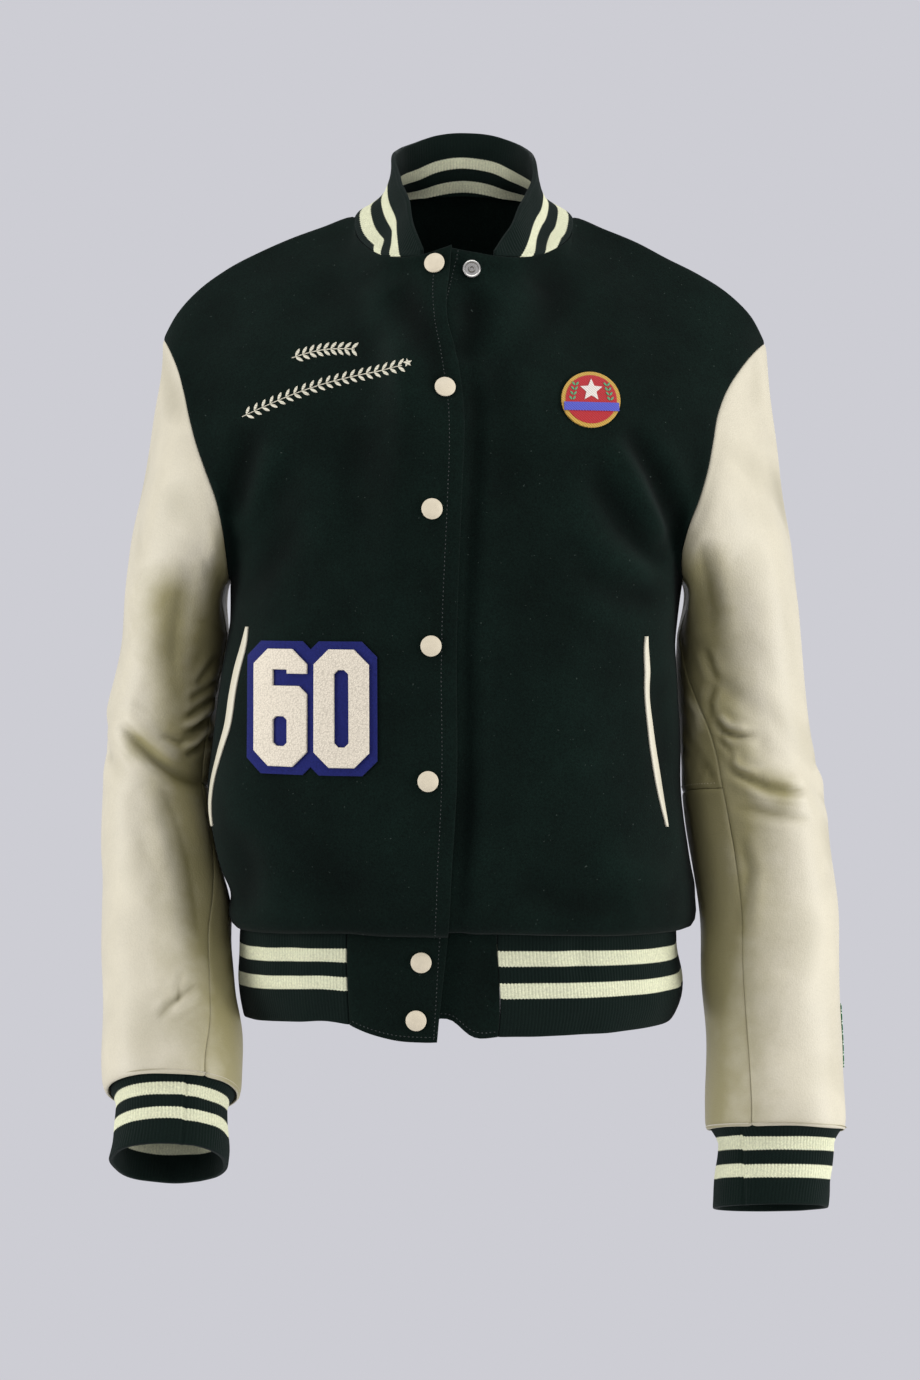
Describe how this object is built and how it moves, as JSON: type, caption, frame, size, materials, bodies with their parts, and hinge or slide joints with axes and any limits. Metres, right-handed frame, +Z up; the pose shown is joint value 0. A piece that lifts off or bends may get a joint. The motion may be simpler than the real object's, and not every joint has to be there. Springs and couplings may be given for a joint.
{
  "type": "bomber jacket",
  "caption": "Hip-length worn bomber jacket with wool body, leather sleeves, striped rib collar, cuffs and hem band, snap front and a number badge.",
  "frame": {"origin": "halfway through the body, level with the shoulders beside the neck, where the wearer's shoulders carry the jacket", "axes": "+Z up along the wearer's spine, -Y the way the wearer faces, +X towards the wearer's left"},
  "size_m": [0.575, 0.2964, 0.8475],
  "materials": {
    "wool": "brushed melton wool, bottle green",
    "leather_cream": "smooth semi-matt cream leather",
    "rib_knit": "bottle green 2x2 rib knit with cream stripes",
    "leather_welt": "smooth ivory leather",
    "cap_ivory": "glossy ivory snap cap",
    "nickel": "nickel-plated snap stud",
    "felt_blue": "royal blue wool felt",
    "chenille": "cream chenille pile",
    "badge_thread": "embroidered twill",
    "label_woven": "green woven label"
  },
  "bodies": {
    "root": {"back": "wool", "chest_badge": "badge_thread", "collar_rib": "rib_knit", "cuff_left": "rib_knit", "cuff_right": "rib_knit", "front_left": "wool", "front_right": "wool", "hem_rib": "rib_knit", "hem_tab_left": "wool", "hem_tab_right": "wool", "number_digit_1": "chenille", "number_digit_2": "chenille", "number_felt": "felt_blue", "pocket_welt_left": "leather_welt", "pocket_welt_right": "leather_welt", "sleeve_label": "label_woven", "sleeve_left_top": "leather_cream", "sleeve_left_under_lower": "leather_cream", "sleeve_left_under_upper": "leather_cream", "sleeve_right_top": "leather_cream", "sleeve_right_under_lower": "leather_cream", "sleeve_right_under_upper": "leather_cream", "snap_cap_1": "cap_ivory", "snap_cap_2": "cap_ivory", "snap_cap_3": "cap_ivory", "snap_cap_4": "cap_ivory", "snap_cap_5": "cap_ivory", "snap_cap_6": "cap_ivory", "snap_cap_7": "cap_ivory", "snap_stud": "nickel"}
  },
  "joints": []
}
